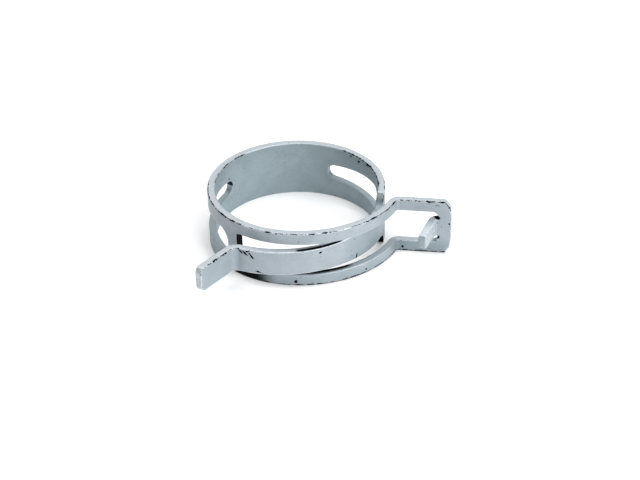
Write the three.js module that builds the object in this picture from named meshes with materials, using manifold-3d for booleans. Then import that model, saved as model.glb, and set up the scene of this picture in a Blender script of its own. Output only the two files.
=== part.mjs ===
// Constant-tension hose clamp: one stamped strip of spring steel, rolled into a ring whose two
// ends cross. One end is a tongue that passes through a window in the other, and both end in ears
// that pliers squeeze together to open the ring.
// Millimetres and degrees. The origin is on the hose's axis, in the plane of the lower rim. +Z runs
// along the hose. The strip is built in the sections between the flexures where it bends.

import * as THREE from 'three';
import { mergeVertices } from 'three/addons/utils/BufferGeometryUtils.js';
import Module from 'manifold-3d';

const wasm = await Module();
wasm.setup();

// ---- Driving dimensions -------------------------------------------------------------------------

const freeBore = 33.0; // inside diameter of the relaxed ring
const thickness = 1.5; // of the strip
const bandWidth = 12.0; // of the strip, along the hose
const backAzimuth = 105.8; // direction of the middle of the plain back, from +X
const sectionGap = 0.3; // between neighbouring sections, where the strip flexes
const flexures = [20, 58, 96]; // turn from the middle of the back to each flexure of an arm

// The arm with the window leaves the ring gradually, so that its rails clear the other arm.
const windowArmRingTurn = 51; // follows the ring this far from the middle of the back
const windowArmSpread = 0.55; // extra bend radius past there
const windowArmSpreadTurn = 97.5;
const railSpread = 2.85; // extra bend radius along the front rails
const railSpreadTurn = 79.9;

// The arm with the tongue follows the ring to its shoulder, then swings out through the window.
const tongueArmRingTurn = 123.2;
const tongueSpread = 2.94; // extra bend radius of the tongue
const tongueSpreadTurn = 96.2;

const slotTip = 39; // turn from the middle of the back to the narrow end of either slot
const tongueSlotEnd = 101.8; // turn to the wide end of the slot in the tongue's arm
const windowSlotEnd = 114.2; // turn to the wide end of the slot in the window's arm
const slotTipRadius = 1.6;
const slotEndRadius = 2.85;

const windowStart = 123.4; // turn from the middle of the back to the window's closed end
const railHeight = 2.5; // of each rail beside the window
const windowCornerRadius = 0.6;
const windowEarCornerRadius = 1.2;

const shoulderTurn = 118; // turn to the shoulder where the full width ends
const shoulderRadius = 2.4;
const tongueClearance = 0.25; // between the tongue's root and each rail
const tongueTaper = 0.6; // lost from each edge of the tongue between root and ear
const tongueTaperTurn = 70;

const earBendRadius = 1.5; // at mid-thickness, where the rails turn out into the framed ear
const earBendTurn = 72.2;
const earLength = 10.5; // straight part of the framed ear
const earPlateLength = 2.75; // solid end of the framed ear, past its window
const earChamferLength = 1.1;
const earChamferDepth = 1.35;
const earCrown = 0.3; // how far the ear's end bulges past its chamfers
const earCrownHeight = 2.0; // over which it does so, at each side

const tongueEarBendRadius = 2.25;
const tongueEarBendTurn = 75.9;
const tongueEarLength = 8.8;
const tongueEarCornerRadius = 1.2;

const tabRelief = 0.25; // how far the grip tab is lanced past the framed ear's window
const tabReliefNotch = 0.45; // above and below the tab's root
const tabBendRadius = 1.2;
const tabBendTurn = 75;
const tabLength = 6.0;
const tabMargin = 1.5; // between the grip tab's root and each rail
const tabTaper = 0.5; // lost from each edge of the tab between root and tip
const tabCornerRadius = 0.5;

const chordError = 0.012; // greatest distance of a facet from the true curve

// ---- The strip's plan ---------------------------------------------------------------------------

const radians = THREE.MathUtils.degToRad;
const midHeight = bandWidth / 2;
const ringRadius = (freeBore + thickness) / 2; // of the strip's mid-thickness
const steelFinish = { color: 0xaeb6ba, roughness: 0.42, metalness: 0.75 };

// A plan runs along mid-thickness from a start, through bends { radius, turn } and straights
// { length }. Side is +1 for an arm that goes round anticlockwise and -1 for clockwise. A positive
// turn curls with the ring and a negative one turns outwards.
function makePlan(start, side, bends) {
  const pieces = [];
  let from = { ...start, s: 0 };
  for (const { radius = 0, turn = 0, length = radius * radians(Math.abs(turn)) } of bends) {
    const piece = { ...from, radius, length, way: side * Math.sign(turn), side };
    pieces.push(piece);
    from = { ...placeOn(piece, length), s: from.s + length };
  }
  return pieces;
}

// The place and heading at a distance along one bend or straight.
function placeOn({ x, y, heading, radius, way }, distance) {
  if (!radius) {
    return { x: x + distance * Math.cos(heading), y: y + distance * Math.sin(heading), heading };
  }
  const turned = heading + (way * distance) / radius;
  return {
    x: x + way * radius * (Math.sin(turned) - Math.sin(heading)),
    y: y - way * radius * (Math.cos(turned) - Math.cos(heading)),
    heading: turned,
  };
}

// The point of a plan at distance s, moved outwards by a depth from mid-thickness.
function pointOn(plan, s, depth = 0) {
  const piece = plan.findLast((candidate) => candidate.s <= s) ?? plan[0];
  const { x, y, heading } = placeOn(piece, s - piece.s);
  const outwards = depth * piece.side;
  return { x: x + outwards * Math.sin(heading), y: y - outwards * Math.cos(heading), heading };
}

// The distances at which a plan is faceted between two ends, so that chords keep to the curve.
function facets(plan, from, to, extra = []) {
  const stations = [...extra];
  for (const { s, length, radius } of plan) {
    const step = radius ? 2 * radius * Math.acos(1 - chordError / radius) : length;
    const count = Math.ceil(length / step);
    for (let i = 0; i <= count; i += 1) stations.push(s + (length * i) / count);
  }
  const backStep = 2 * ringRadius * Math.acos(1 - chordError / ringRadius);
  for (let s = -backStep; s > from; s -= backStep) stations.push(s);
  const leastStep = 0.08;
  const inside = stations.filter((s) => s > from + leastStep && s < to - leastStep);
  inside.sort((a, b) => a - b);
  const apart = inside.filter((s, i) => i === 0 || s - inside[i - 1] > leastStep);
  return [from, ...apart, to];
}

// A length of strip rolled along a plan between low(s) and high(s).
function rolledStrip(plan, from, to, low, high, { depth = thickness, extra = [] } = {}) {
  const stations = facets(plan, from, to, extra);
  const last = stations.length - 1;
  const geometry = new THREE.BoxGeometry(last, depth, 1, last, 1, 1);
  const position = geometry.attributes.position;
  for (let i = 0; i < position.count; i += 1) {
    const s = stations[Math.round(position.getX(i) + last / 2)];
    const { x, y } = pointOn(plan, s, plan[0].side * -position.getY(i));
    const z = position.getZ(i) < 0 ? low(s) : high(s);
    position.setXYZ(i, x, y, z);
  }
  geometry.deleteAttribute('normal');
  geometry.deleteAttribute('uv');
  return mergeVertices(geometry, 1e-4);
}

// ---- Joining and cutting ------------------------------------------------------------------------

function solidOf(geometry) {
  const vertProperties = new Float32Array(geometry.attributes.position.array);
  const triVerts = new Uint32Array(geometry.index.array);
  return new wasm.Manifold(new wasm.Mesh({ numProp: 3, vertProperties, triVerts }));
}

function geometryOf(solid) {
  const { vertProperties, triVerts } = solid.getMesh();
  const geometry = new THREE.BufferGeometry();
  geometry.setAttribute('position', new THREE.BufferAttribute(vertProperties, 3));
  geometry.setIndex(new THREE.BufferAttribute(triVerts, 1));
  return geometry;
}

function cut(geometry, ...cutters) {
  const rest = cutters.reduce((solid, cutter) => solid.subtract(solidOf(cutter)), solidOf(geometry));
  return geometryOf(rest);
}

// ---- Outlines along the strip -------------------------------------------------------------------

const lowerRim = () => 0;
const upperRim = () => bandWidth;
const above = (halfHeight) => (s) => midHeight + halfHeight(s);
const below = (halfHeight) => (s) => midHeight - halfHeight(s);

// Height of a circle's arc over its centre line, never quite closing at its ends.
function arcHeight(radius, offset) {
  const leastHeight = 0.05;
  return Math.max(leastHeight, Math.sqrt(Math.max(0, radius * radius - offset * offset)));
}

// Half the height of a teardrop slot whose rounded ends are joined by tangent lines.
function teardrop(from, to) {
  const tip = from + slotTipRadius;
  const end = to - slotEndRadius;
  const slope = (slotEndRadius - slotTipRadius) / (end - tip); // sine of the tangents' angle
  const cosine = Math.sqrt(1 - slope * slope);
  const tangent = (s) => (slotTipRadius + slope * (s - tip)) / cosine;
  return (s) => {
    if (s < tip - slotTipRadius * slope) return arcHeight(slotTipRadius, s - tip);
    if (s > end - slotEndRadius * slope) return arcHeight(slotEndRadius, s - end);
    return tangent(s);
  };
}

// Half the height of an opening of constant height with rounded corners at its two ends.
function roundedOpening(from, to, halfHeight, fromRadius, toRadius) {
  return (s) => {
    const nearStart = from + fromRadius - s;
    const nearEnd = s - (to - toRadius);
    if (nearStart > 0) return halfHeight - fromRadius + arcHeight(fromRadius, nearStart);
    if (nearEnd > 0) return halfHeight - toRadius + arcHeight(toRadius, nearEnd);
    return halfHeight;
  };
}

// Stations that follow a rounded corner or end, from the distance where its arc begins.
function arcStations(begin, radius, way, sweep = 90) {
  const count = 6;
  return Array.from({ length: count + 1 }, (_, i) => {
    return begin + way * radius * Math.sin(radians((sweep * i) / count));
  });
}

// ---- The two arms -------------------------------------------------------------------------------

const backHeading = radians(backAzimuth);
const back = { x: ringRadius * Math.cos(backHeading), y: ringRadius * Math.sin(backHeading) };
const quarterTurn = radians(90);
const onRing = (turn) => ringRadius * radians(turn);

const windowArm = makePlan({ ...back, heading: backHeading + quarterTurn }, 1, [
  { radius: ringRadius, turn: windowArmRingTurn },
  { radius: ringRadius + windowArmSpread, turn: windowArmSpreadTurn },
  { radius: ringRadius + railSpread, turn: railSpreadTurn },
  { radius: earBendRadius, turn: -earBendTurn },
  { length: earLength },
]);
const tongueArm = makePlan({ ...back, heading: backHeading - quarterTurn }, -1, [
  { radius: ringRadius, turn: tongueArmRingTurn },
  { radius: ringRadius + tongueSpread, turn: tongueSpreadTurn },
  { radius: tongueEarBendRadius, turn: -tongueEarBendTurn },
  { length: tongueEarLength },
]);

const startOfBend = (plan, index) => plan[index].s;
const endOf = (plan) => plan.at(-1).s + plan.at(-1).length;

// The distance along the window's arm at a turn from the middle of the back.
function onWindowArm(turn) {
  const pastRing = Math.max(0, turn - windowArmRingTurn);
  return onRing(turn) + windowArmSpread * radians(pastRing);
}

const halfGap = sectionGap / 2;
const cutDepth = thickness * 2; // a cutter passes right through the strip

// A cutter that runs through the strip, over the length of an opening.
function opening(plan, from, to, halfHeight, extra) {
  const options = { depth: cutDepth, extra };
  return rolledStrip(plan, from, to, below(halfHeight), above(halfHeight), options);
}

function teardropStations(from, to) {
  return [
    ...arcStations(from + slotTipRadius, slotTipRadius, -1),
    ...arcStations(to - slotEndRadius, slotEndRadius, 1),
  ];
}

// The three sections of an arm that its slot runs through: the root with the slot's narrow end, and
// the two strands beside the slot. The slot's taper lets the strip bend evenly along its length.
function slottedSections(name, plan, stationAt, slotFrom, slotTo) {
  const [rootFlexure, midFlexure, endFlexure] = flexures.map(stationAt);
  const halfHeight = teardrop(slotFrom, slotTo);
  const slot = opening(plan, slotFrom, slotTo, halfHeight, teardropStations(slotFrom, slotTo));
  const ends = [midFlexure + halfGap, endFlexure - halfGap];
  const rootEnds = [rootFlexure + halfGap, midFlexure - halfGap];
  return {
    [`${name}_root`]: cut(rolledStrip(plan, ...rootEnds, lowerRim, upperRim), slot),
    [`${name}_upper_strand`]: rolledStrip(plan, ...ends, above(halfHeight), upperRim),
    [`${name}_lower_strand`]: rolledStrip(plan, ...ends, lowerRim, below(halfHeight)),
    slot,
  };
}

// The plain back, opposite the ears.
function backBand() {
  const reach = onRing(flexures[0]) - halfGap;
  return rolledStrip(windowArm, -reach, reach, lowerRim, upperRim);
}

// ---- The tongue's arm ---------------------------------------------------------------------------

const windowHalfHeight = midHeight - railHeight;
const tongueRootHalf = windowHalfHeight - tongueClearance;
const tongueTipHalf = tongueRootHalf - tongueTaper;
const shoulderAt = onRing(shoulderTurn);
const tongueFrom = shoulderAt + shoulderRadius + halfGap; // the shoulder's fillets end before this
const tongueTaperEnd = shoulderAt + onRing(tongueTaperTurn);
const tongueEarFrom = startOfBend(tongueArm, 2);

// Half the tongue's height, with fillets where it leaves the shoulder.
function tongueHalf(s) {
  const share = THREE.MathUtils.smoothstep(s, shoulderAt, tongueTaperEnd);
  const straight = THREE.MathUtils.lerp(tongueRootHalf, tongueTipHalf, share);
  const intoFillet = shoulderAt + shoulderRadius - s;
  if (intoFillet <= 0) return straight;
  const rise = shoulderRadius - arcHeight(shoulderRadius, intoFillet);
  return Math.min(midHeight, straight + rise);
}

// The full-width end of the tongue's arm: the slot's wide end, the shoulder and its fillets.
function tongueShoulder(slot) {
  const from = onRing(flexures[2]) + halfGap;
  const fullWidth = rolledStrip(tongueArm, from, tongueFrom - halfGap, lowerRim, upperRim);
  const fillets = arcStations(shoulderAt + shoulderRadius, shoulderRadius, -1);
  const to = tongueFrom + halfGap;
  const options = { depth: cutDepth, extra: fillets };
  const beyond = bandWidth; // the trimmed corners reach well past both rims
  const upper = rolledStrip(tongueArm, shoulderAt, to, above(tongueHalf), () => beyond * 2, options);
  const lower = rolledStrip(tongueArm, shoulderAt, to, () => -beyond, below(tongueHalf), options);
  return cut(fullWidth, slot, upper, lower);
}

function tongue() {
  const from = tongueFrom + halfGap;
  const to = tongueEarFrom - halfGap;
  return rolledStrip(tongueArm, from, to, below(tongueHalf), above(tongueHalf));
}

// The tongue's turned-out end, with rounded corners at its tip.
function tongueEar() {
  const from = tongueEarFrom + halfGap;
  const to = endOf(tongueArm);
  const corner = roundedOpening(-Infinity, to, tongueTipHalf, 0, tongueEarCornerRadius);
  const extra = arcStations(to - tongueEarCornerRadius, tongueEarCornerRadius, 1);
  return rolledStrip(tongueArm, from, to, below(corner), above(corner), { extra });
}

// ---- The window's arm ---------------------------------------------------------------------------

const windowFrom = onWindowArm(windowStart);
const earBendFrom = startOfBend(windowArm, 3);
const earTo = endOf(windowArm);
const windowTo = earTo - earPlateLength;
const railsFrom = windowFrom + windowCornerRadius + halfGap;
const windowHalf = roundedOpening(
  windowFrom, windowTo, windowHalfHeight, windowCornerRadius, windowEarCornerRadius);

function windowCutter() {
  const extra = [
    ...arcStations(windowFrom + windowCornerRadius, windowCornerRadius, -1),
    ...arcStations(windowTo - windowEarCornerRadius, windowEarCornerRadius, 1),
  ];
  return opening(windowArm, windowFrom, windowTo, windowHalf, extra);
}

// The web between the slot's wide end and the window, with the roots of both rails.
function bridge(slot, window) {
  const from = onWindowArm(flexures[2]) + halfGap;
  const stock = rolledStrip(windowArm, from, railsFrom - halfGap, lowerRim, upperRim);
  return cut(stock, slot, window);
}

function rail(low, high) {
  return rolledStrip(windowArm, railsFrom + halfGap, earBendFrom - halfGap, low, high);
}

// The notches beside the grip tab's root, which stop it tearing where it was bent.
const tabRootHalf = windowHalfHeight - tabMargin;
const tabReliefTo = windowTo + tabRelief;
function reliefCutter() {
  const half = () => tabRootHalf + tabReliefNotch;
  return opening(windowArm, windowTo - halfGap, tabReliefTo, half, []);
}

// The framed ear: both rails turn out and meet in a solid end, chamfered and slightly crowned.
function earFrame(window) {
  const crownFrom = earTo - earCrown;
  const chamferFrom = crownFrom - earChamferLength;
  const chamfer = (s) => {
    const share = THREE.MathUtils.clamp((s - chamferFrom) / earChamferLength, 0, 1);
    const crown = Math.max(0, s - crownFrom) / earCrown;
    return earChamferDepth * share + earCrownHeight * crown;
  };
  const extra = [chamferFrom, crownFrom];
  const from = earBendFrom + halfGap;
  const low = (s) => chamfer(s);
  const high = (s) => bandWidth - chamfer(s);
  return cut(rolledStrip(windowArm, from, earTo, low, high, { extra }), window, reliefCutter());
}

// The grip tab, lanced from the window and turned towards the front, so that plier jaws meet it
// and the tongue's ear square on. It starts between its relief notches, in the plane of the ear.
const tabStart = pointOn(windowArm, tabReliefTo - sectionGap);
const tabPlan = makePlan({ ...tabStart, heading: tabStart.heading + Math.PI }, 1, [
  { radius: tabBendRadius, turn: tabBendTurn },
  { length: tabLength },
]);

function gripTab() {
  const to = endOf(tabPlan);
  const half = (s) => {
    const straight = tabRootHalf - (tabTaper * s) / to;
    const intoCorner = s - (to - tabCornerRadius);
    if (intoCorner <= 0) return straight;
    return straight - tabCornerRadius + arcHeight(tabCornerRadius, intoCorner);
  };
  const extra = arcStations(to - tabCornerRadius, tabCornerRadius, 1);
  return rolledStrip(tabPlan, 0, to, below(half), above(half), { extra });
}

// ---- Assembly -----------------------------------------------------------------------------------

function armGroup(name, geometries) {
  const arm = new THREE.Group();
  arm.name = name;
  for (const [node, geometry] of Object.entries(geometries)) {
    geometry.computeVertexNormals();
    const mesh = new THREE.Mesh(geometry, new THREE.MeshStandardMaterial(steelFinish));
    mesh.name = node;
    arm.add(mesh);
  }
  return arm;
}

function buildTongueArm() {
  const to = onRing(tongueSlotEnd);
  const { slot, ...sections } = slottedSections('tongue_arm', tongueArm, onRing, onRing(slotTip), to);
  return armGroup('tongue_arm', {
    ...sections,
    tongue_shoulder: tongueShoulder(slot),
    tongue: tongue(),
    tongue_ear: tongueEar(),
  });
}

function buildWindowArm() {
  const [from, to] = [slotTip, windowSlotEnd].map(onWindowArm);
  const { slot, ...sections } = slottedSections('window_arm', windowArm, onWindowArm, from, to);
  const window = windowCutter();
  return armGroup('window_arm', {
    ...sections,
    bridge: bridge(slot, window),
    upper_rail: rail(above(windowHalf), upperRim),
    lower_rail: rail(lowerRim, below(windowHalf)),
    ear_frame: earFrame(window),
    grip_tab: gripTab(),
  });
}

const hoseClamp = new THREE.Group();
hoseClamp.name = 'hose_clamp';
hoseClamp.add(armGroup('back', { back_band: backBand() }), buildTongueArm(), buildWindowArm());

export default hoseClamp;
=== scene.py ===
# Constant-tension hose clamp, stamped and rolled from one strip of coated spring steel.
# Sizes are in millimetres and each mesh is scaled to metres as it is made. A place on the strip is
# given on its flat blank: s along an arm from the middle of the back, z up from the lower rim, and
# depth outwards from mid-thickness.
import math

import bmesh
import bpy
import numpy as np
from mathutils import Matrix, Vector, geometry


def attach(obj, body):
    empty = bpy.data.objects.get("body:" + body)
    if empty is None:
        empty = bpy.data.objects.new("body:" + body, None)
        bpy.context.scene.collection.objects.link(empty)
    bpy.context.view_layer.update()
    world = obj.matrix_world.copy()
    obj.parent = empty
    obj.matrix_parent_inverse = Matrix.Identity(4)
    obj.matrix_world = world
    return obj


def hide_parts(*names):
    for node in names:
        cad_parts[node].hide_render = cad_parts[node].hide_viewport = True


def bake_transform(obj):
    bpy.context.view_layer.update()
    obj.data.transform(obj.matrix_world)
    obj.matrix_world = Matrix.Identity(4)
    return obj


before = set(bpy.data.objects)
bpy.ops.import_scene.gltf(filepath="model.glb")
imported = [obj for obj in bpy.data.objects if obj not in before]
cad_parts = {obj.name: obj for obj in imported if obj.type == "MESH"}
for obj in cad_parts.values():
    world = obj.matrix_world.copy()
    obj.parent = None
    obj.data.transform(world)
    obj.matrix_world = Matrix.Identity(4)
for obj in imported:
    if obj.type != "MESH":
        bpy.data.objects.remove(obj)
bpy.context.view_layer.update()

# ---- The plain back -----------------------------------------------------------------------------
# The middle of the strip, opposite the ears: full width, rolled to the hose's radius, and solid as
# far as the narrow ends of the two slots. Hardened spring steel, sheared to width, tumbled to take
# the burr off its edges, then dipped in a zinc-flake coat and spun.

free_bore = 33.0
thickness = 1.5
band_width = 12.0
back_azimuth = 105.8  # direction of the middle of the back, in degrees from +X
mid_height = band_width / 2
ring_radius = (free_bore + thickness) / 2  # of mid-thickness

edge_round = 0.19  # radius that tumbling leaves on a sheared edge
round_steps = 3
least_mitre_cosine = 0.5  # keeps the inner line of a sharp corner from running far in
margin_limit = 2.0  # distances to a sheared edge are told to the material up to this
length_step = 0.5  # mesh spacing along the strip
turn_step = 5  # degrees of bend between two stations at a tight bend
level_step = 0.5  # mesh spacing across the strip
least_gap = 0.09  # between two mesh lines
grid_clearance = 1.5 * least_gap  # from the outline to the nearest point of the grid
same_place = 1e-4  # points closer than this are one point
tiny = 1e-12  # keeps a length of 0 out of a division
arc_step = 15  # degrees between two points of a rounded corner
inside_only = 1  # the triangulation's way of leaving out what is beyond the outline
merge_distance = 1e-6

slot_tip_turn = 39  # from the middle of the back to the narrow end of either slot
window_slot_end_turn = 114.2
tongue_slot_end_turn = 101.8
slot_tip_radius = 1.6
slot_end_radius = 2.85
root_turn = 45  # where the slot has parted the strip into two strands
strand_turn = 77
flex_ends = {"root": (1, 39), "strand": (46, 70), "outer": (78, 114)}  # turns that bend


def follow(bend, distance):
    """The place and heading at a distance along one bend or straight of a plan."""
    x, y, heading, radius, way = (bend[k] for k in ("x", "y", "heading", "radius", "way"))
    if not radius:
        here = heading + 0 * distance
        return x + distance * math.cos(heading), y + distance * math.sin(heading), here
    here = heading + way * distance / radius
    x = x + way * radius * (np.sin(here) - math.sin(heading))
    y = y - way * radius * (np.cos(here) - math.cos(heading))
    return x, y, here


def lay_out(start, side, bends):
    """A plan of the strip at mid-thickness. Bends are (radius, degrees), or (0, length) if straight.
    Side is 1 for an arm that goes round anticlockwise, and -1 for clockwise."""
    plan = []
    begins = 0.0
    x, y, heading = start
    for radius, amount in bends:
        length = radius * math.radians(abs(amount)) if radius else amount
        way = side * math.copysign(1, amount)
        plan.append({"from": begins, "x": x, "y": y, "heading": heading, "radius": radius,
                     "way": way, "side": side, "length": length})
        x, y, heading = follow(plan[-1], length)
        begins += length
    return plan


def rolled(plan, s, depth):
    """Where points of the flat blank lie once it is rolled: x, y and the strip's heading there."""
    s = np.asarray(s, float)
    x, y, heading = np.zeros((3, *s.shape))
    for bend in plan:
        here = s >= bend["from"] if bend["from"] > 0 else np.ones(s.shape, bool)
        x[here], y[here], heading[here] = follow(bend, s[here] - bend["from"])
    outwards = plan[0]["side"] * depth
    return x + outwards * np.sin(heading), y - outwards * np.cos(heading), heading


def plan_end(plan):
    return plan[-1]["from"] + plan[-1]["length"]


def stations(plan, begin, end):
    """Distances along a plan where the mesh has a line across the strip."""
    found = []
    for bend in plan:
        low = max(begin, bend["from"] if bend["from"] > 0 else begin)
        high = min(end, bend["from"] + bend["length"])
        if high <= low:
            continue
        step = length_step
        if bend["radius"]:
            step = min(step, bend["radius"] * math.radians(turn_step))
        count = math.ceil((high - low) / step)
        found += [low + (high - low) * i / count for i in range(count + 1)]
    found = sorted(found)
    return [a for a, b in zip(found, found[1:] + [found[-1] + 1]) if b - a > least_gap]


def rounded(corners):
    """A closed outline of points from corners (s, z, radius), each with an arc in its place."""
    points = []
    for k, (s, z, radius) in enumerate(corners):
        here = Vector((s, z))
        if not radius:
            points.append(here)
            continue
        to_last = (Vector(corners[k - 1][:2]) - here).normalized()
        to_next = (Vector(corners[(k + 1) % len(corners)][:2]) - here).normalized()
        half = to_last.angle(to_next) / 2
        centre = here + (to_last + to_next).normalized() * radius / math.sin(half)
        arm = here + to_last * radius / math.tan(half) - centre
        sweep = math.copysign(math.pi - 2 * half, to_next.cross(to_last))
        steps = max(2, math.ceil(abs(math.degrees(sweep)) / arc_step))
        points += [centre + Matrix.Rotation(sweep * i / steps, 2) @ arm for i in range(steps + 1)]
    last = points[-1:] + points[:-1]
    return [p for p, before in zip(points, last) if (p - before).length > same_place]


def divided(points, across, levels, seams):
    """The outline with a point wherever a mesh line meets it."""
    found = []
    for p, q in zip(points, points[1:] + points[:1]):
        span = q - p
        axis = 0 if abs(span.x) > same_place else 1
        on_seam = axis == 1 and any(abs(p.x - seam) < same_place for seam in seams)
        clear = (least_gap + edge_round * on_seam) / span.length
        shares = sorted((m - p[axis]) / span[axis] for m in (across, levels)[axis])
        found += [p] + [p + span * t for t in shares if clear < t < 1 - clear]
    return np.array([tuple(p) for p in found])


def distance_to(points, starts, ends):
    """Each point's distance to the nearest of some segments."""
    span = ends - starts
    reach = points[:, None] - starts
    share = np.clip((reach * span).sum(2) / np.maximum((span**2).sum(1), tiny), 0, 1)
    return np.linalg.norm(reach - share[..., None] * span, axis=2).min(1)


def inside(points, loop):
    """Whether each point is inside a closed loop."""
    ends = np.roll(loop, -1, axis=0)
    x, y = points[:, 0, None], points[:, 1, None]
    crosses = (loop[:, 1] > y) != (ends[:, 1] > y)
    rise = np.where(ends[:, 1] == loop[:, 1], tiny, ends[:, 1] - loop[:, 1])
    meets = loop[:, 0] + (y - loop[:, 1]) / rise * (ends[:, 0] - loop[:, 0])
    return (crosses & (x < meets)).sum(1) % 2 == 1


def form(name, plan, corners, seams, blank=(1, 0, 1)):
    """A closed mesh for one section of the strip. Corners go anticlockwise on the flat blank. Edges
    at a distance in seams meet the next section, and all the others are sheared and tumbled.
    Blank is how the section's s and depth run on the whole strip's blank: (way, start, depth way)."""
    lengths = [c[0] for c in corners]
    across = stations(plan, min(lengths), max(lengths))
    levels = np.arange(level_step, band_width, level_step)
    loop = divided(rounded(corners), across, levels, seams)
    count = len(loop)
    ahead = np.roll(loop, -1, axis=0) - loop
    seam = np.array([abs(d[0]) < same_place and any(abs(p[0] - s) < same_place for s in seams)
                     for p, d in zip(loop, ahead)])
    after_seam = np.roll(seam, 1)
    way = ahead / np.linalg.norm(ahead, axis=1)[:, None]
    both = way + np.roll(way, 1, axis=0)
    both = both / np.linalg.norm(both, axis=1)[:, None]
    inwards = np.stack([-both[:, 1], both[:, 0]], axis=1)
    mitre = 1 / np.maximum(least_mitre_cosine, (way * both).sum(1))
    inwards[seam] = way[seam]
    inwards[after_seam] = -np.roll(way, 1, axis=0)[after_seam]
    mitre[seam | after_seam] = 1
    along_seam = seam & after_seam
    sheared = ~along_seam
    skin_loop = loop + np.where(sheared, edge_round * mitre, 0)[:, None] * inwards

    grid = np.array([(s, z) for s in across for z in levels])
    grid = grid[inside(grid, skin_loop)]
    near = distance_to(grid, skin_loop, np.roll(skin_loop, -1, axis=0))
    flat = np.concatenate([skin_loop, grid[near > grid_clearance]])
    ring = [(i, (i + 1) % count) for i in range(count)]
    points = [Vector(p) for p in flat]
    kept, _, found, came_from, _, _ = geometry.delaunay_2d_cdt(
        points, ring, [list(range(count))], inside_only, merge_distance)
    if len(kept) != len(flat):
        raise ValueError(f"{name}: the blank's outline crosses itself")
    order = [came[0] for came in came_from]
    triangles = [[order[v] for v in t] for t in found]

    half = thickness / 2
    size = len(flat)
    rows = [(flat, np.full(size, side * half), np.zeros((size, 2)), np.full(size, side * 1.0))
            for side in (1, -1)]
    columns = {}
    turns = [90 * k / round_steps for k in range(1, round_steps + 1)]
    at = 2 * size
    edge_points = np.flatnonzero(sheared)
    for side, swept in [(1, t) for t in turns] + [(-1, t) for t in reversed(turns)]:
        sine, cosine = math.sin(math.radians(swept)), math.cos(math.radians(swept))
        shift = edge_round * (1 - sine) * mitre[sheared]
        rows.append((
            loop[sheared] + shift[:, None] * inwards[sheared],
            np.full(len(edge_points), side * (half - edge_round * (1 - cosine))),
            -inwards[sheared] * sine,
            np.full(len(edge_points), side * cosine),
        ))
        for k, i in enumerate(edge_points):
            columns.setdefault(i, [i]).append(at + k)
        at += len(edge_points)
    for i in edge_points:
        columns[i].append(size + i)

    faces = triangles + [[size + v for v in reversed(t)] for t in triangles]
    for i, j in ring:
        if not seam[i]:
            faces += [[columns[i][k], columns[i][k + 1], columns[j][k + 1], columns[j][k]]
                      for k in range(len(columns[i]) - 1)]
    first_cap = len(faces)
    faces += [[i, size + i, size + j, j] for i, j in ring if seam[i]]
    faces += [columns[i] for i in edge_points if seam[i] or after_seam[i]]

    place = np.concatenate([r[0] for r in rows])
    depth = np.concatenate([r[1] for r in rows])
    lean = np.concatenate([r[2] for r in rows])
    face_on = np.concatenate([r[3] for r in rows])
    x, y, heading = rolled(plan, place[:, 0], depth)
    out = plan[0]["side"] * face_on
    normals = np.stack([
        lean[:, 0] * np.cos(heading) + out * np.sin(heading),
        lean[:, 0] * np.sin(heading) - out * np.cos(heading),
        lean[:, 1],
    ], axis=1)

    mesh = bpy.data.meshes.new(name)
    mesh.from_pydata(np.stack([x, y, place[:, 1]], axis=1) / 1000, [], faces)
    work = bmesh.new()
    work.from_mesh(mesh)
    bmesh.ops.recalc_face_normals(work, faces=work.faces)
    work.to_mesh(mesh)
    work.free()
    mesh.polygons.foreach_set("use_smooth", [True] * len(mesh.polygons))
    corners_of = np.zeros(len(mesh.loops), int)
    mesh.loops.foreach_get("vertex_index", corners_of)
    split = normals[corners_of]
    for face in mesh.polygons[first_cap:]:
        split[list(face.loop_indices)] = face.normal
    mesh.normals_split_custom_set(split)

    cuts = ~seam
    margin = distance_to(place, loop[cuts], np.roll(loop, -1, axis=0)[cuts])
    run, begin, depth_way = blank
    on_blank = np.stack([begin + run * place[:, 0], place[:, 1], depth_way * depth], axis=1)
    told = mesh.attributes.new("blank", "FLOAT_VECTOR", "POINT")
    told.data.foreach_set("vector", on_blank.astype(np.float32).ravel())
    told = mesh.attributes.new("margin", "FLOAT", "POINT")
    told.data.foreach_set("value", np.minimum(margin, margin_limit).astype(np.float32))
    piece = bpy.data.objects.new(name, mesh)
    bpy.context.scene.collection.objects.link(piece)
    mesh.materials.append(coated_steel)
    return piece


class Wire:
    """A node's output. Arithmetic on it adds Math nodes, and node() adds any other node."""

    def __init__(self, tree, socket=None):
        self.tree = tree
        self.socket = socket

    def node(self, kind, settings=None, inputs=None, output=0):
        """A new node of that type: its settings, then the values or links of its sockets."""
        made = self.tree.nodes.new(kind)
        for name, value in (settings or {}).items():
            setattr(made, name, value)
        for name, value in (inputs or {}).items():
            socket = made.inputs[name] if isinstance(name, int) else next(
                s for s in made.inputs if s.enabled and s.name == name)
            if isinstance(value, Wire):
                self.tree.links.new(value.socket, socket)
            else:
                socket.default_value = value
        found = made.outputs[output] if isinstance(output, int) else next(
            s for s in made.outputs if s.enabled and s.name == output)
        return Wire(self.tree, found)

    def maths(self, operation, first, second=0.0):
        return self.node("ShaderNodeMath", {"operation": operation}, {0: first, 1: second})

    def __add__(self, other):
        return self.maths("ADD", self, other)

    def __mul__(self, other):
        return self.maths("MULTIPLY", self, other)

    def __sub__(self, other):
        return self.maths("SUBTRACT", self, other)

    def __rsub__(self, other):
        return self.maths("SUBTRACT", other, self)

    __radd__ = __add__
    __rmul__ = __mul__


def step(value, low, high):
    """0 below low and 1 above high, with a smooth rise between, or a fall if low is the larger."""
    first, last = (0.0, 1.0) if low < high else (1.0, 0.0)
    return value.node("ShaderNodeMapRange", {"interpolation_type": "SMOOTHSTEP"}, {
        "Value": value, "From Min": min(low, high), "From Max": max(low, high),
        "To Min": first, "To Max": last})


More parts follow.
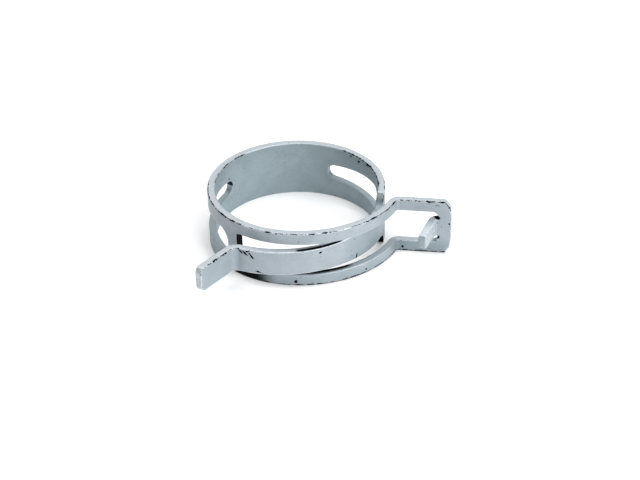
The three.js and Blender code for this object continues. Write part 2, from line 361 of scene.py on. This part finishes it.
def noise(where, scale, detail=2.0, roughness=0.5):
    return where.node("ShaderNodeTexNoise", None, {
        "Vector": where, "Scale": scale, "Detail": detail, "Roughness": roughness})


def stretched(where, sizes):
    """The blank's coordinates scaled by its length, height and depth."""
    return where.node("ShaderNodeVectorMath", {"operation": "MULTIPLY"}, {0: where, 1: sizes})


def blend_colour(share, first, second):
    return share.node("ShaderNodeMix", {"data_type": "RGBA"}, {
        "Factor": share, "A": first, "B": second}, "Result")


def between(value, low, high, soft):
    """1 between low and high, falling to 0 over a soft length beyond each."""
    return step(value, low - soft, low) * step(value, high + soft, high)


def most(first, *others):
    for other in others:
        first = first.maths("MAXIMUM", first, other)
    return first


# The coat is a thin, matt layer of zinc and aluminium flakes, with a duller tone inside the ring that
# is partly its own and partly painted shade. It is chipped to black scale along its edges, and
# brighter on its corners. Black, deep and pale coat are also painted in places as shade, shadow and
# highlight.
coat_pale = (0.385, 0.428, 0.468, 1)
coat_deep = (0.315, 0.36, 0.392, 1)
# Inside the ring: a tone of its own, made deeper as painted shade. The deep one is also painted as
# shade on the outer faces and the edges.
bore_pale = (0.315, 0.38, 0.41, 1)
bore_deep_and_shade = (0.25, 0.315, 0.337, 1)
# Pale coat for the rubbed corners, and also for the painted highlight on the tab.
rubbed_and_lit_coat = (0.66, 0.71, 0.745, 1)
# Black for the chips, and also for the painted shade and shadow in gaps and pockets.
black_scale_and_shade = (0.008, 0.009, 0.012, 1)

coated_steel = bpy.data.materials.new("coated_spring_steel")
coated_steel.use_nodes = True
nodes = coated_steel.node_tree
shader = nodes.nodes["Principled BSDF"]
start = Wire(nodes)
blank = start.node("ShaderNodeAttribute", {"attribute_name": "blank"}, None, "Vector")
margin = start.node("ShaderNodeAttribute", {"attribute_name": "margin"}, None, "Fac")
apart = blank.node("ShaderNodeSeparateXYZ", None, {"Vector": blank}, "X")
along, height, depth = (Wire(nodes, apart.socket.node.outputs[k]) for k in range(3))


def corner_distance(across, face):
    """Distance from the corner that a sheared edge makes with a face of the strip."""
    down = thickness / 2 - face * depth
    squares = across * across + down * down
    return squares.maths("POWER", squares, 0.5)


to_outer = corner_distance(margin, 1)
to_inner = corner_distance(margin, -1)
sheared_face = step(margin, 0.1, 0.02)
outer_face = step(depth, 0.1, 0.4)
inner_face = step(depth, -0.1, -0.4)

clouds = noise(blank, 0.33, 3.0, 0.55)
blotches = noise(blank, 1.9, 4.0, 0.6)
flakes = blank.node("ShaderNodeTexVoronoi", None, {"Vector": blank, "Scale": 9.0}, "Color")
flake = flakes.node("ShaderNodeSeparateColor", None, {"Color": flakes}, "Red")
rolling = noise(stretched(blank, (0.25, 9.0, 1.0)), 1.0, 2.0)
torn = noise(stretched(blank, (6.0, 6.0, 0.9)), 1.0, 3.0)
jitter = noise(blank, 4.5, 3.0, 0.7)
ragged = noise(blank, 0.9, 4.0, 0.65)

# How badly each length of an edge is knocked, from the middle of the back: the outer corner of the
# upper rim, the same corner of the framed ear and of the tongue's ear, the outer corner of the lower
# rim, where the dark line is partly chips and partly a painted contact shadow, and the inner corner.
upper_rim = step(height, 9.7, 10.1)
ear_top = step(height, 7.0, 7.6)
lower_rim_chips_and_shadow = step(height, 0.6, 0.3)
outer_knocks = upper_rim * most(
    between(along, 21, 38, 3), 0.7 * between(along, 40, 58, 3), between(along, 62, 74, 2),
    between(along, 76, 86, 1), 0.55 * between(along, -36, -27, 2))
outer_knocks = most(outer_knocks, 0.8 * ear_top * between(along, -83, -72, 2),
                    1.5 * lower_rim_chips_and_shadow * between(along, 38, 74, 2),
                    1.9 * lower_rim_chips_and_shadow * between(along, 73, 86, 1))
inner_knocks = upper_rim * most(between(along, -40, -17, 3), 0.8 * between(along, 9, 20, 3))


def chips(distance, knocks):
    """Where the coat is gone from a corner: a ragged line, and short chips everywhere else."""
    reach = most(knocks * (0.11 + 0.3 * step(ragged, 0.42, 0.72)), 0.24 * step(ragged, 0.64, 0.74))
    return step(distance + 0.5 * (jitter - 0.5) - reach, 0.02, -0.02)


# Small round chips scattered over the faces: a few large, and more where the coat is ragged.
dots = blank.node("ShaderNodeTexVoronoi", None, {"Vector": blank, "Scale": 0.42}, "Distance")
kinds = Wire(nodes, dots.socket.node.outputs["Color"])
kind = kinds.node("ShaderNodeSeparateColor", None, {"Color": kinds}, "Red")
specks = step(dots + 0.16 * jitter - 0.12 * step(kind, 0.5, 1.0), 0.06, 0.03)
pits = blank.node("ShaderNodeTexVoronoi", None, {"Vector": blank, "Scale": 0.85}, "Distance")
specks = most(specks, 0.8 * step(pits + 0.3 * jitter, 0.28, 0.22) * step(ragged, 0.52, 0.6))


def knock(place, size, turn=0):
    """One chip in a face: its middle on the blank, its length and height, and its slant."""
    moved = shaken.node("ShaderNodeMapping", {"vector_type": "TEXTURE"}, {
        "Vector": shaken, "Location": place, "Rotation": (0, 0, math.radians(turn)),
        "Scale": (size[0] / 2, size[1] / 2, 0.4)})
    reach = moved.node("ShaderNodeVectorMath", {"operation": "LENGTH"}, {0: moved}, "Value")
    return step(reach, 1.15, 0.8)


outer = thickness / 2
shake = blank.node("ShaderNodeTexNoise", None, {
    "Vector": blank, "Scale": 3.0, "Detail": 3.0}, "Color")
shake = shake.node("ShaderNodeVectorMath", {"operation": "SUBTRACT"}, {
    0: shake, 1: (0.5, 0.5, 0.5)})
shaken = shake.node("ShaderNodeVectorMath", {"operation": "MULTIPLY_ADD"}, {
    0: shake, 1: (0.7, 0.7, 0.0), 2: blank})
knocked = most(
    knock((-70.9, 8.2, outer), (1.6, 0.42), -48),
    knock((-69.8, 7.8, outer), (1.5, 0.42), -42),
    knock((-68.6, 7.4, outer), (1.6, 0.42), -50),
    knock((-69.3, 8.3, outer), (1.0, 0.4), 25),
    knock((-67.3, 3.9, outer), (1.2, 0.38), -10),
    knock((-47.0, 3.7, outer), (0.4, 1.2), -15),
    knock((-55.3, 7.6, outer), (0.8, 0.35), 10),
    knock((49.8, 0.95, outer), (0.7, 0.75)),
    knock((76.2, 1.0, outer), (0.6, 0.6)),
    knock((83.2, 11.1, outer), (0.9, 0.2), -15),
    knock((-17.8, 11.3, -outer), (0.5, 0.4)),
    knock((-20.3, 11.0, -outer), (1.0, 0.5), -30),
    knock((-23.4, 11.5, -outer), (0.7, 0.3), -20),
    knock((12.9, 8.3, -outer), (0.5, 0.4)),
)
# Black painted shade, set by place on the strip: in the window's closed end, on the end of the lower
# shoulder, at the tip of one slot and in the notches, and a painted shadow on the lower rail behind
# the tongue's ear.
edge_strip = step(margin + 0.3 * jitter, 0.5, 0.35)
window_end = between(along, 36.8, 38.4, 0.2) * between(height, 2.7, 9.3, 0.2) * edge_strip
shoulder_end = between(along, -38.2, -35.2, 0.2) * step(height, 2.9, 2.6) * step(margin, 0.2, 0.08)
slot_tip = between(along, 11.4, 12.6, 0.3) * between(height, 6.3, 7.4, 0.4) * step(margin, 0.3, 0.15)
notches = between(along, 82.6, 83.7, 0.1) * step(margin, 0.25, 0.1) * most(
    between(height, 3.3, 4.1, 0.1), between(height, 7.9, 8.7, 0.1))
behind_ear = (between(along + 1.6 * ragged, 36.0, 42.6, 4.5) * step(height, 3.2, 2.4)
              * outer_face)
# Black painted shadow lines in the gaps where the tongue runs close under the upper rail and over the
# lower one.
under_rail = (sheared_face * between(height, 8.4, 9.3, 0.1) * between(along, -59.5, -51.0, 0.8)
              * step(depth, -0.2, 0.1))
on_rail = (sheared_face * between(height, 2.4, 2.7, 0.1) * between(along, 50.5, 60.0, 2.5)
           * step(depth + 0.04 * along, 2.9, 2.2))
# Chips and specks where the coat is gone to black scale, together with the black painted shade and
# shadow set above.
bare_and_shade = most(chips(to_outer, outer_knocks), chips(to_inner, inner_knocks), specks, knocked,
            window_end, shoulder_end, slot_tip, notches, behind_ear,
            under_rail, on_rail)

tone = 0.5 * clouds + 0.3 * blotches + 0.12 * flake + 0.14 * rolling
tone = step(tone, 0.38, 0.76)
bore = blend_colour(tone, bore_deep_and_shade, bore_pale)
coat = blend_colour(inner_face, blend_colour(tone, coat_deep, coat_pale), bore)
rubbed_and_lit = most(0.8 * step(to_outer, 0.3, 0.1), 0.5 * step(to_inner, 0.3, 0.1))
rubbed_and_lit = most(rubbed_and_lit * step(blotches, 0.3, 0.55), 0.6 * sheared_face * step(torn, 0.15, 0.6))
# Painted shade: the edges of the slots and of the window are made duller and darker than the other
# edges. The tip of the tab and the neck by the shoulder are made duller and darker too.
shaded_span = between(along, -33, 74, 1) * between(height, 2.3, 9.7, 0.2)
tab_tip = between(along, 75.5, 75.85, 0.15) * between(height, 4.0, 8.0, 0.2)
in_slot = shaded_span * sheared_face * between(along, -33, 35.5, 0.5)
neck = between(along, -38.4, -35.9, 0.3) * sheared_face
rubbed_and_lit = rubbed_and_lit * (1 - most(0.75 * shaded_span, tab_tip, neck))
# Painted highlight: the faces of the tab are made a little brighter than the rest.
tab_highlight = between(along, 76.3, 81.5, 1.0) * between(height, 3.8, 8.2, 0.3)
rubbed_and_lit = most(rubbed_and_lit, 0.45 * tab_highlight * step(blotches, 0.2, 0.6))
coat = blend_colour(0.75 * most(in_slot, tab_tip, neck), coat, bore_deep_and_shade)
# Painted shade: the outer face is darker low down, under the framed ear, at the tongue's root and on
# its ear.
painted_low_shade = step(height + 1.5 * clouds, 5.0, 1.5)
coat = blend_colour(0.5 * painted_low_shade * outer_face, coat, bore_deep_and_shade)
darker = most(0.6 * between(along, 75, 83, 2) * step(height, 2.9, 2.4),
              0.45 * between(along, -46, -36, 5) * step(height, 9.0, 7.0),
              0.3 * between(along, -83, -71, 1))
coat = blend_colour(darker * outer_face, coat, bore_deep_and_shade)
coat = blend_colour(rubbed_and_lit, coat, rubbed_and_lit_coat)
colour = blend_colour(bare_and_shade, coat, black_scale_and_shade)
nodes.links.new(colour.socket, shader.inputs["Base Color"])
metal = 0.42 + 0.58 * bare_and_shade
nodes.links.new(metal.socket, shader.inputs["Metallic"])
rough = 0.44 + 0.12 * blotches + 0.08 * flake - 0.08 * rubbed_and_lit + 0.12 * bare_and_shade
nodes.links.new(rough.socket, shader.inputs["Roughness"])
relief = 0.2 * flake + 0.7 * blotches + 0.35 * rolling + sheared_face * torn - 1.4 * bare_and_shade
bump = relief.node("ShaderNodeBump", None, {
    "Strength": 0.3, "Distance": 0.00003, "Height": relief}, "Normal")
nodes.links.new(bump.socket, shader.inputs["Normal"])


back_heading = math.radians(back_azimuth)
back_middle = (ring_radius * math.cos(back_heading), ring_radius * math.sin(back_heading))
quarter = math.pi / 2


def on_ring(turn):
    return ring_radius * math.radians(turn)


# The window's arm leaves the ring gradually, so that its rails clear the other arm.
window_ring_turn = 51
window_spread = 0.55
window_spread_turn = 97.5
rail_spread = 2.85
rail_turn = 79.9
framed_ear_bend_radius = 1.5
framed_ear_bend_turn = 72.2
framed_ear_length = 10.5
window_arm = lay_out((*back_middle, back_heading + quarter), 1, [
    (ring_radius, window_ring_turn),
    (ring_radius + window_spread, window_spread_turn),
    (ring_radius + rail_spread, rail_turn),
    (framed_ear_bend_radius, -framed_ear_bend_turn),
    (0, framed_ear_length),
])
# The tongue's arm follows the ring past its shoulder, then swings out through the window.
tongue_ring_turn = 123.2
tongue_spread = 2.94
tongue_spread_turn = 96.2
tongue_ear_bend_radius = 2.25
tongue_ear_bend_turn = 75.9
tongue_ear_length = 8.8
tongue_arm = lay_out((*back_middle, back_heading - quarter), -1, [
    (ring_radius, tongue_ring_turn),
    (ring_radius + tongue_spread, tongue_spread_turn),
    (tongue_ear_bend_radius, -tongue_ear_bend_turn),
    (0, tongue_ear_length),
])


def on_window_arm(turn):
    """The distance along the window's arm at a turn from the middle of the back."""
    return on_ring(turn) + window_spread * math.radians(max(0, turn - window_ring_turn))


def slot_half(s, slot_from, slot_to):
    """Half the height of a teardrop slot along the straight edges between its rounded ends."""
    tip = slot_from + slot_tip_radius
    end = slot_to - slot_end_radius
    slope = (slot_end_radius - slot_tip_radius) / (end - tip)
    return (slot_tip_radius + slope * (s - tip)) / math.sqrt(1 - slope * slope)


def flex(piece, plan, station_of, zone):
    """Bakes a section's placement into its mesh. The ends of its flexing zone are found on the rolled
    plan, but nothing is done with them.
    """
    low, high = (station_of(turn) for turn in flex_ends[zone])
    for s in (low, high):
        x, y, _ = rolled(plan, [s], 0)
        x[0] / 1000
        y[0] / 1000
    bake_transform(piece)


# Both halves of the back reach as far as the seam past their slot's narrow end.
arms = {
    "window": (window_arm, on_window_arm, window_slot_end_turn, (1, 0, 1)),
    "tongue": (tongue_arm, on_ring, tongue_slot_end_turn, (-1, 0, 1)),
}
for side, (plan, station_of, slot_end_turn, blank_run) in arms.items():
    slot_from, slot_to, seam_at = (
        station_of(t) for t in (slot_tip_turn, slot_end_turn, root_turn))
    opened = slot_half(seam_at, slot_from, slot_to)
    tip = slot_half(slot_from, slot_from, slot_to)
    half_back = form(f"coated_back_{side}_side", plan, [
        (0, 0, 0),
        (seam_at, 0, 0),
        (seam_at, mid_height - opened, 0),
        (slot_from, mid_height - tip, slot_tip_radius),
        (slot_from, mid_height + tip, slot_tip_radius),
        (seam_at, mid_height + opened, 0),
        (seam_at, band_width, 0),
        (0, band_width, 0),
    ], (0, seam_at), blank_run)
    flex(half_back, plan, station_of, "root")
    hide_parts("back_band", f"{side}_arm_root")

# ---- The four strands ---------------------------------------------------------------------------
# Either arm is parted by its teardrop slot into an upper and a lower strand, so that it bends
# evenly when the ears are squeezed. The slot is punched in the flat strip, and its edges are
# sheared, tumbled and coated like the rims.

for side, (plan, station_of, slot_end_turn, blank_run) in arms.items():
    slot_from, slot_to, begin, end = (
        station_of(t) for t in (slot_tip_turn, slot_end_turn, root_turn, strand_turn))
    low, high = (slot_half(s, slot_from, slot_to) for s in (begin, end))
    outlines = {
        "lower": [(begin, 0), (end, 0), (end, mid_height - high), (begin, mid_height - low)],
        "upper": [(begin, mid_height + low), (end, mid_height + high), (end, band_width),
                  (begin, band_width)],
    }
    for level, outline in outlines.items():
        strand = form(f"coated_{side}_arm_{level}_strand", plan,
                      [(*corner, 0) for corner in outline], (begin, end), blank_run)
        flex(strand, plan, station_of, "strand")
        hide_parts(f"{side}_arm_{level}_strand")

# ---- The shoulder -------------------------------------------------------------------------------
# The full-width end of the tongue's arm: the slot's wide end, and the shoulder where the strip is
# notched down to the tongue. It takes no part in the grip, and its corners are rounded by tumbling.

rail_height = 2.5
window_half = mid_height - rail_height
tongue_clearance = 0.25  # to each rail, at the tongue's root
tongue_root_half = window_half - tongue_clearance
shoulder_turn = 118
shoulder_at = on_ring(shoulder_turn)
shoulder_fillet = 2.4
shoulder_corner = 0.3
past_corner = 0.15  # from the end of a rounded corner to the next seam
tongue_from = shoulder_at + shoulder_fillet + past_corner
tongue_taper = 0.6
tongue_taper_turn = 70
tongue_taper_end = shoulder_at + on_ring(tongue_taper_turn)


def tongue_half(s):
    """Half the tongue's height, which tapers smoothly from its root to its ear."""
    share = min(1, max(0, (s - shoulder_at) / (tongue_taper_end - shoulder_at)))
    return tongue_root_half - tongue_taper * share * share * (3 - 2 * share)


plan, station_of, slot_end_turn, blank_run = arms["tongue"]
slot_from, slot_to, begin = (station_of(t) for t in (slot_tip_turn, slot_end_turn, strand_turn))
wide = slot_half(slot_to, slot_from, slot_to)
opened = slot_half(begin, slot_from, slot_to)
root_half = tongue_half(tongue_from)
shoulder = form("coated_tongue_shoulder", plan, [
    (begin, 0, 0),
    (shoulder_at, 0, shoulder_corner),
    (shoulder_at, mid_height - root_half, shoulder_fillet),
    (tongue_from, mid_height - root_half, 0),
    (tongue_from, mid_height + root_half, 0),
    (shoulder_at, mid_height + root_half, shoulder_fillet),
    (shoulder_at, band_width, shoulder_corner),
    (begin, band_width, 0),
    (begin, mid_height + opened, 0),
    (slot_to, mid_height + wide, slot_end_radius),
    (slot_to, mid_height - wide, slot_end_radius),
    (begin, mid_height - opened, 0),
], (begin, tongue_from), blank_run)
flex(shoulder, plan, station_of, "outer")
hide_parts("tongue_shoulder")

# ---- The tongue ---------------------------------------------------------------------------------
# The narrow end of the strip. It runs out through the window between the two rails, and tapers a
# little towards its ear.

tongue_ear_from = tongue_arm[-2]["from"]
taper_points = 61
lower_edge = [(s, mid_height - tongue_half(s), 0)
              for s in np.linspace(tongue_from, tongue_ear_from, taper_points)]
upper_edge = [(s, band_width - z, 0) for s, z, _ in reversed(lower_edge)]
tongue = form("coated_tongue", tongue_arm, lower_edge + upper_edge,
              (tongue_from, tongue_ear_from), blank_run)
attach(tongue, "tongue_arm_outer")
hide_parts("tongue")

# ---- The tongue's ear ---------------------------------------------------------------------------
# The last 9 mm of the tongue, bent outwards over a 1.5 mm former as one of the two ears that pliers
# squeeze. Its outer corners are rounded.

ear_half = tongue_half(tongue_ear_from)
ear_end = plan_end(tongue_arm)
ear_corner = 1.2
tongue_ear = form("coated_tongue_ear", tongue_arm, [
    (tongue_ear_from, mid_height - ear_half, 0),
    (ear_end, mid_height - ear_half, ear_corner),
    (ear_end, mid_height + ear_half, ear_corner),
    (tongue_ear_from, mid_height + ear_half, 0),
], (tongue_ear_from,), blank_run)
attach(tongue_ear, "tongue_arm_outer")
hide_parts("tongue_ear")

# ---- The bridge ---------------------------------------------------------------------------------
# The web of the window's arm between the slot's wide end and the window's closed end, with the
# roots of both rails. The window is punched before rolling, with small radii in its closed end.

window_turn = 123.4  # from the middle of the back to the window's closed end
plan, station_of, slot_end_turn, blank_run = arms["window"]
slot_from, slot_to, begin, window_from = (
    station_of(t) for t in (slot_tip_turn, slot_end_turn, strand_turn, window_turn))
window_corner = 0.6
rails_from = window_from + window_corner + past_corner
wide = slot_half(slot_to, slot_from, slot_to)
opened = slot_half(begin, slot_from, slot_to)
bridge = form("coated_window_bridge", plan, [
    (begin, 0, 0),
    (rails_from, 0, 0),
    (rails_from, mid_height - window_half, 0),
    (window_from, mid_height - window_half, window_corner),
    (window_from, mid_height + window_half, window_corner),
    (rails_from, mid_height + window_half, 0),
    (rails_from, band_width, 0),
    (begin, band_width, 0),
    (begin, mid_height + opened, 0),
    (slot_to, mid_height + wide, slot_end_radius),
    (slot_to, mid_height - wide, slot_end_radius),
    (begin, mid_height - opened, 0),
], (begin, rails_from), blank_run)
flex(bridge, plan, station_of, "outer")
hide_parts("bridge")

# ---- The two rails ------------------------------------------------------------------------------
# The strips of metal above and below the window, left when it is punched. They pass over and under
# the tongue, and both have the same height.

ear_bend_from = window_arm[-2]["from"]
for level, low in (("lower", 0), ("upper", band_width - rail_height)):
    rail = form(f"coated_{level}_rail", window_arm, [
        (rails_from, low, 0),
        (ear_bend_from, low, 0),
        (ear_bend_from, low + rail_height, 0),
        (rails_from, low + rail_height, 0),
    ], (rails_from, ear_bend_from), blank_run)
    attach(rail, "window_arm_outer")
    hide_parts(f"{level}_rail")

# ---- The framed ear -----------------------------------------------------------------------------
# Both rails turn out through a tight bend and meet in a solid end with chamfered corners. The
# window ends in it, with a relief notch above and below the root of the tab that is lanced there.

frame_end = plan_end(window_arm)
ear_plate_length = 2.75  # of solid metal past the window
window_to = frame_end - ear_plate_length
chamfer_length = 1.1
chamfer_depth = 1.35
chamfer_round = 0.6
end_crown = 0.3  # how far the end bulges past its chamfers
crown_height = 2.0
tab_margin = 1.5  # from the tab's side to the window's, at its root
tab_root_half = window_half - tab_margin
notch_height = 0.45
notch_round = 0.2
notch_depth = 0.25
notch_end = window_to + notch_depth
tab_relief = 0.3  # how far the notches reach past the tab's root
tab_from = notch_end - tab_relief
window_ear_corner = 1.2
arc_angles = range(0, 80, 12)
crown_from = frame_end - end_crown
notch_low = mid_height - tab_root_half - notch_height
window_low = mid_height - window_half
arc_centre = (window_to - window_ear_corner, window_low + window_ear_corner)
last_angle = math.degrees(math.acos((arc_centre[1] - notch_low) / window_ear_corner))


def window_arc(degrees):
    """A corner of the window, from where its arc leaves the rail."""
    turned = math.radians(degrees)
    return (arc_centre[0] + window_ear_corner * math.sin(turned),
            arc_centre[1] - window_ear_corner * math.cos(turned))


lower_half = [
    (*window_arc(last_angle), 0),
    (notch_end, notch_low, notch_round),
    (notch_end, mid_height - tab_root_half, notch_round),
    (tab_from, mid_height - tab_root_half, 0),
]
lower_half = [(*window_arc(angle), 0) for angle in arc_angles] + lower_half
upper_half = [(s, band_width - z, radius) for s, z, radius in lower_half]
framed_ear = form("coated_framed_ear", window_arm, [
    (ear_bend_from, 0, 0),
    (crown_from - chamfer_length, 0, chamfer_round),
    (crown_from, chamfer_depth, chamfer_round),
    (frame_end, chamfer_depth + crown_height, crown_height),
    (frame_end, band_width - chamfer_depth - crown_height, crown_height),
    (crown_from, band_width - chamfer_depth, chamfer_round),
    (crown_from - chamfer_length, band_width, chamfer_round),
    (ear_bend_from, band_width, 0),
    (ear_bend_from, band_width - window_low, 0),
    *upper_half,
    *reversed(lower_half),
    (ear_bend_from, window_low, 0),
], (ear_bend_from, tab_from), blank_run)
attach(framed_ear, "window_arm_outer")
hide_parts("ear_frame")

# ---- The grip tab -------------------------------------------------------------------------------
# Lanced from the middle of the window and bent over to the front, so that one jaw of the pliers
# meets a flat that faces the tongue's ear. It stays joined to the framed ear at its root.

tab_bend_radius = 1.2
tab_bend_turn = 75
tab_length = 6.0
tab_taper = 0.5
tab_corner = 0.5
root_x, root_y, root_heading = (float(v[0]) for v in rolled(window_arm, [tab_from], 0))
tab_plan = lay_out((root_x, root_y, root_heading + math.pi), 1, [
    (tab_bend_radius, tab_bend_turn),
    (0, tab_length),
])
tab_end = plan_end(tab_plan)
tip_half = tab_root_half - tab_taper
grip_tab = form("coated_grip_tab", tab_plan, [
    (0, mid_height - tab_root_half, 0),
    (tab_end, mid_height - tip_half, tab_corner),
    (tab_end, mid_height + tip_half, tab_corner),
    (0, mid_height + tab_root_half, 0),
], (0,), (-1, tab_from, -1))
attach(grip_tab, "window_arm_outer")
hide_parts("grip_tab")

# ---- The studio ---------------------------------------------------------------------------------
# A seamless white sweep, one broad soft light overhead, and a softer one from the front right. The
# camera looks down on the clamp from the side where its arms cross.

floor_size = 4.0
floor_drop = 0.00002  # keeps the floor clear of the lower rim
bpy.ops.mesh.primitive_plane_add(size=floor_size, location=(0, 0, -floor_drop))
floor = bpy.context.object
floor.name = "studio_floor"
sweep = bpy.data.materials.new("white_sweep")
sweep.use_nodes = True
paint = sweep.node_tree.nodes["Principled BSDF"]
paint.inputs["Base Color"].default_value = (0.93, 0.93, 0.935, 1)
paint.inputs["Roughness"].default_value = 0.9
paint.inputs["Emission Color"].default_value = (1, 1, 1, 1)
paint.inputs["Emission Strength"].default_value = 0.12
paint.inputs["Specular IOR Level"].default_value = 0.1
floor.data.materials.append(sweep)


def soft_light(name, place, aim, size, power, tint=(1, 1, 1)):
    """A square soft box at a place in metres, turned to its aim."""
    data = bpy.data.lights.new(name, "AREA")
    data.size = size
    data.energy = power
    data.color = tint
    lamp = bpy.data.objects.new(name, data)
    lamp.location = place
    lamp.rotation_euler = (Vector(aim) - Vector(place)).to_track_quat("-Z", "Y").to_euler()
    bpy.context.scene.collection.objects.link(lamp)


soft_light("overhead_box", (0.05, 0.1, 0.75), (0, 0, 0), 0.9, 8.2)
soft_light("front_right_box", (0.55, -0.5, 0.32), (0, 0, 0), 0.4, 5.6)

world = bpy.data.worlds.new("studio")
world.use_nodes = True
bpy.context.scene.world = world
backdrop = world.node_tree.nodes["Background"]
backdrop.inputs["Color"].default_value = (0.93, 0.97, 1.0, 1)
backdrop.inputs["Strength"].default_value = 0.07

camera_place = Vector((0.004626, -0.312219, 0.201293))
camera_axes = Matrix((
    (0.999874, 0.015846, 0.0),
    (-0.008633, 0.544769, -0.838542),
    (-0.013287, 0.838437, 0.544837),
))
camera_data = bpy.data.cameras.new("photographer")
camera_data.lens = 101.25
camera_data.sensor_width = 36.0
camera_data.clip_start = 0.01
camera_data.clip_end = 20.0
camera = bpy.data.objects.new("photographer", camera_data)
camera.matrix_world = Matrix.Translation(camera_place) @ camera_axes.to_4x4()
bpy.context.scene.collection.objects.link(camera)
bpy.context.scene.camera = camera
bpy.context.scene.view_settings.view_transform = "Standard"
